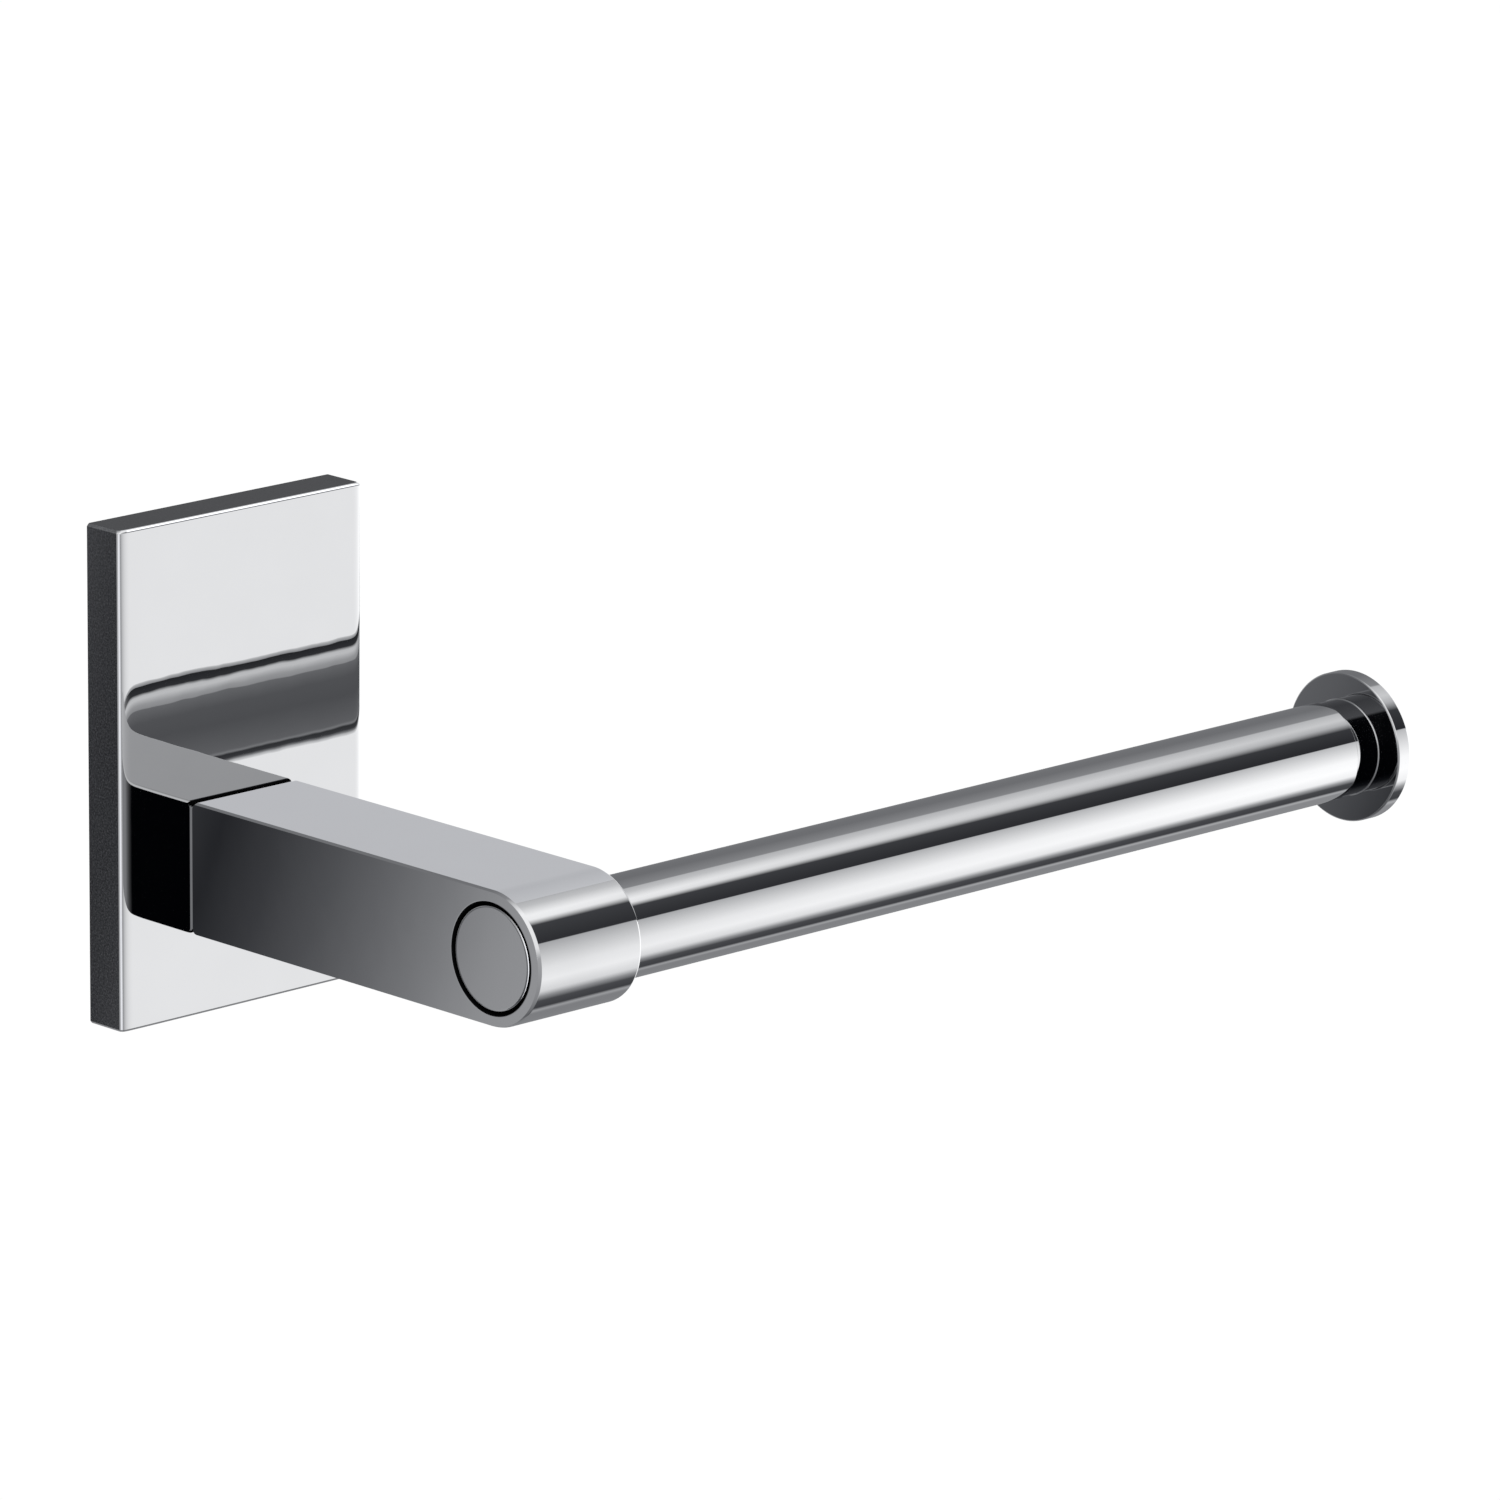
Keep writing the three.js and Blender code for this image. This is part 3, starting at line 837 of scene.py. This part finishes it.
def build_world():
    """The skies light the holder and are mirrored in it; the camera sees white."""
    world = bpy.data.worlds.new("studio")
    bpy.context.scene.world = world
    world.use_nodes = True
    nodes, links = world.node_tree.nodes, world.node_tree.links
    nodes.clear()
    direction = nodes.new("ShaderNodeTexCoord").outputs["Generated"]
    split = nodes.new("ShaderNodeSeparateXYZ")
    links.new(direction, split.inputs[0])
    x, y, z = split.outputs
    turn = math_node(nodes, links, "ARCTAN2", z, math_node(nodes, links, "MULTIPLY", y, -1.0))
    place = remap(nodes, links, turn, -math.pi, math.pi, 0, 1)
    seen = sky_ramp(nodes, links, place, FAR_LEFT)
    for stops, start, end in SKIES:
        share = remap(nodes, links, x, start, end, 0, 1)
        seen = mix_colors(nodes, links, share, seen, sky_ramp(nodes, links, place, stops))
    studio = nodes.new("ShaderNodeBackground")
    studio.inputs["Strength"].default_value = 1 / REFLECTANCE
    links.new(seen, studio.inputs["Color"])
    paper = nodes.new("ShaderNodeBackground")
    paper.inputs["Color"].default_value = (1, 1, 1, 1)
    shown = nodes.new("ShaderNodeMixShader")
    links.new(nodes.new("ShaderNodeLightPath").outputs["Is Camera Ray"], shown.inputs[0])
    links.new(studio.outputs[0], shown.inputs[1])
    links.new(paper.outputs[0], shown.inputs[2])
    output = nodes.new("ShaderNodeOutputWorld")
    links.new(shown.outputs[0], output.inputs["Surface"])


def build_panel(name, side, start, end, level, receivers, near=0.7, far=1.4):
    """A light panel for some pieces only, on the right (side 1) or the left (side -1) of the holder. It
    covers the heights from start to end in degrees, as the skies count them, and is turned to the bar's
    axis. Near and far are how far to the side it reaches, in parts of its distance."""
    centre_turn = math.radians((start + end) / 2)
    half = math.radians((end - start) / 2)
    outwards = Vector((0, -math.cos(centre_turn), math.sin(centre_turn)))
    data = bpy.data.lights.new(name, "AREA")
    data.shape = "RECTANGLE"
    data.size = PANEL_DISTANCE * (far - near)
    data.size_y = 2 * PANEL_DISTANCE * math.tan(half)
    data.energy = linear(level) / REFLECTANCE * data.size * data.size_y * math.pi
    data.color = PANEL_COLOR
    panel = bpy.data.objects.new(name, data)
    bpy.context.scene.collection.objects.link(panel)
    sideways = Vector((1, 0, 0))
    across = outwards.cross(sideways)
    turned = Matrix((sideways, across, outwards)).transposed()
    place = AXIS + PANEL_DISTANCE * outwards + side * PANEL_DISTANCE * (near + far) / 2 * sideways
    panel.matrix_world = Matrix.Translation(place) @ turned.to_4x4()
    panel.visible_camera = False
    group = bpy.data.collections.new(name)
    for receiver in receivers:
        group.objects.link(receiver)
    panel.light_linking.receiver_collection = group


# Grey card on the left, seen by the faces turned that way: (y in millimetres at its middle height, level).
CARD_LEVELS = [
    (115, 150), (145, 140),  # its light front
    (220, 35), (260, 85),  # a dark fold
    (300, 105), (420, 105),  # its grey back
]
CARD_FADE_STEPS = 5
CARD_SLANT = 0.44  # the shades lean: each step up counts for this much of a step towards the wall
CARD_MIDDLE = -0.099
CARD_X = -0.21
CARD_BOTTOM, CARD_TOP = -0.26, 0.02
FLOOR_HALF_WIDTH = 3
FLOOR_HEIGHT = -0.3


def stage_piece(name, verts, material):
    mesh = bpy.data.meshes.new(name)
    mesh.from_pydata(verts, [], [(0, 1, 2, 3)])
    mesh.materials.append(material)
    obj = bpy.data.objects.new(name, mesh)
    bpy.context.scene.collection.objects.link(obj)
    return obj


def emission(name):
    """A material that only glows."""
    material = bpy.data.materials.new(name)
    material.use_nodes = True
    nodes, links = material.node_tree.nodes, material.node_tree.links
    nodes.clear()
    glow = nodes.new("ShaderNodeEmission")
    output = nodes.new("ShaderNodeOutputMaterial")
    links.new(glow.outputs[0], output.inputs["Surface"])
    return material, nodes, links, glow


def build_card():
    """The grey card, which nothing but the chrome sees."""
    material, nodes, links, glow = emission("grey card")
    low, high = CARD_LEVELS[0][0] * MM, CARD_LEVELS[-1][0] * MM
    split = nodes.new("ShaderNodeSeparateXYZ")
    links.new(nodes.new("ShaderNodeTexCoord").outputs["Object"], split.inputs[0])
    drift = math_node(nodes, links, "MULTIPLY_ADD", split.outputs[2], CARD_SLANT, -CARD_SLANT * CARD_MIDDLE)
    across = math_node(nodes, links, "ADD", split.outputs[1], drift)
    place = remap(nodes, links, across, low, high, 0, 1)
    levels = even_fades(CARD_LEVELS, CARD_FADE_STEPS)
    stops = [((y * MM - low) / (high - low), level) for y, level in levels]
    links.new(ramp_of(nodes, links, place, stops), glow.inputs["Color"])
    glow.inputs["Strength"].default_value = 1 / REFLECTANCE
    corners = [(low, CARD_BOTTOM), (high, CARD_BOTTOM), (high, CARD_TOP), (low, CARD_TOP)]
    card = stage_piece("left_card", [(CARD_X, y, z) for y, z in corners], material)
    card.visible_camera = False
    card.visible_diffuse = False
    card.visible_shadow = False


def build_floor():
    """A plain white floor under the holder."""
    material, nodes, links, glow = emission("floor paper")
    paper = nodes.new("ShaderNodeValToRGB")
    grain = noise(nodes, links, 40, 2)
    paper.color_ramp.elements[0].color = (0.995, 0.995, 0.995, 1)
    paper.color_ramp.elements[1].color = (1, 1, 1, 1)
    links.new(grain, paper.inputs["Fac"])
    links.new(paper.outputs[0], glow.inputs["Color"])
    glow.inputs["Strength"].default_value = 1.02
    half = FLOOR_HALF_WIDTH
    corners = [(-half, -half), (half, -half), (half, half), (-half, half)]
    floor = stage_piece("floor", [(x, y, FLOOR_HEIGHT) for x, y in corners], material)
    floor.visible_glossy = False


build_world()
build_card()
build_floor()
build_panel("arm top light", 1, 106, 200, 146, [arm_piece])
build_panel("front left light", -1, -60, 26, 222, [plate_piece, tube_piece])
build_panel("upper left light", -1, 2, 88, 190, [arm_piece, tube_piece])
build_panel("cap rim light", -1, -80, 75, 250, [cap_piece], 0.3, 1.5)
build_panel("plate edge light", 1, 58, 82, 225, [plate_piece])
bpy.context.scene.view_settings.view_transform = "Standard"

# ---- Camera ----
AZIMUTH, ELEVATION, ROLL = math.radians(-44.0), math.radians(14.75), math.radians(0.53)
DISTANCE = 1.5216
LENS = 253.5
AIM = AXIS + Vector((40.55, 0.05, 21.64)) * MM


def build_camera():
    back = Vector((
        math.sin(AZIMUTH) * math.cos(ELEVATION),
        -math.cos(AZIMUTH) * math.cos(ELEVATION),
        math.sin(ELEVATION),
    ))
    data = bpy.data.cameras.new("camera")
    data.lens = LENS
    data.clip_start, data.clip_end = 0.05, 50
    camera = bpy.data.objects.new("camera", data)
    bpy.context.scene.collection.objects.link(camera)
    camera.matrix_world = (
        Matrix.Translation(AIM + back * DISTANCE)
        @ (-back).to_track_quat("-Z", "Y").to_matrix().to_4x4()
        @ Matrix.Rotation(ROLL, 4, "Z")
    )
    bpy.context.scene.camera = camera


build_camera()
